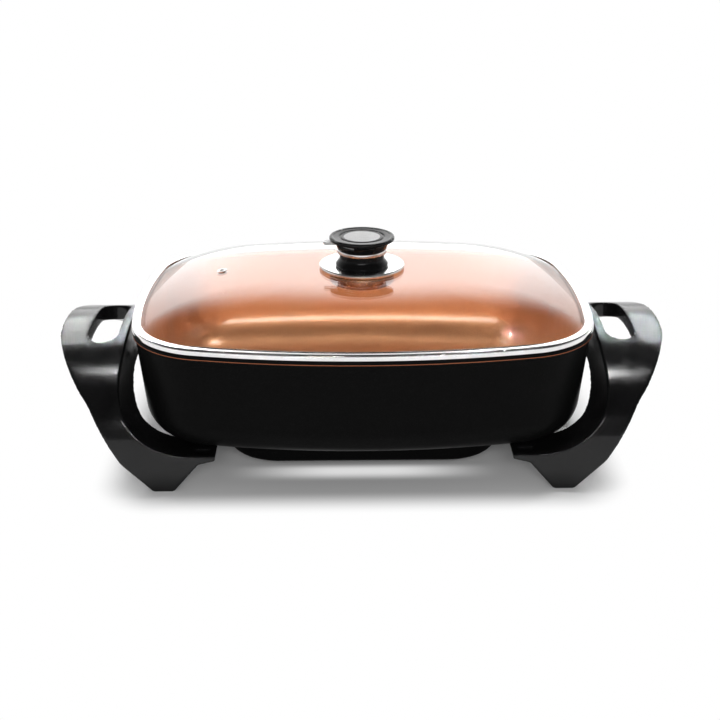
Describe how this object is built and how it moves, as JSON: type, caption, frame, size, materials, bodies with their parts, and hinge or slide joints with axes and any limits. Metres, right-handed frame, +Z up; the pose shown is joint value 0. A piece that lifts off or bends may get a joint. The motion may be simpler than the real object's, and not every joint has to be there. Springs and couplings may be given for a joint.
{
  "type": "electric skillet",
  "caption": "Electric skillet: deep rectangular pan with a cast-in heater, two arched handles that are its legs, a thermostat inlet and a lift-off domed glass lid with a knob and steam lever.",
  "frame": {"origin": "centre of the footprint, on the table that the feet stand on", "axes": "+X along the longest side towards the heater inlet, -Y towards the front, +Z up"},
  "size_m": [0.544, 0.304, 0.191],
  "materials": {
    "pan_finish": "cast aluminium with a satin black coating outside",
    "copper_coating": "copper-coloured ceramic non-stick, soft gloss",
    "handle_moulding": "glossy black moulded phenolic",
    "knob_moulding": "glossy black moulded phenolic",
    "knob_inlay": "grey, finely textured",
    "lever_moulding": "grey moulded plastic",
    "lid_glass": "clear tempered glass",
    "polished_steel": "polished stainless steel",
    "plated_steel": "nickel-plated or brushed steel",
    "insulator": "unglazed ceramic",
    "gasket": "silicone",
    "brass_insert": "turned brass"
  },
  "bodies": {
    "base": {"pan_body": "pan_finish", "interior_coating": "copper_coating", "heater_casting": "pan_finish", "heating_element": "plated_steel", "terminal_pins": "plated_steel", "terminal_insulators": "insulator", "sensor_sleeve": "plated_steel", "inlet_guard": "plated_steel", "guard_screws": "plated_steel", "handle_left": "handle_moulding", "handle_right": "handle_moulding", "handle_screws": "plated_steel", "handle_washers": "plated_steel"},
    "lid": {"lid_glass": "lid_glass", "lid_band": "polished_steel", "vent_eyelet": "polished_steel", "under_plate": "polished_steel", "under_gasket": "gasket", "knob_dish": "polished_steel", "dish_gasket": "gasket", "knob_base": "knob_moulding", "knob_ring": "polished_steel", "knob_grip": "knob_moulding", "knob_cap": "knob_moulding", "knob_inlay": "knob_inlay", "knob_insert": "brass_insert", "knob_screw": "plated_steel"},
    "lever": {"steam_lever": "lever_moulding"}
  },
  "joints": [
    {"name": "lid_lift", "type": "slide", "parent": "base", "child": "lid", "axis": [0, 0, 1], "range_m": [0, 0.12]},
    {"name": "steam_lever_turn", "type": "hinge", "parent": "lid", "child": "lever", "pos_m": [0, 0, 0.1846], "axis": [0, 0, 1], "range_deg": [0, 60]}
  ]
}
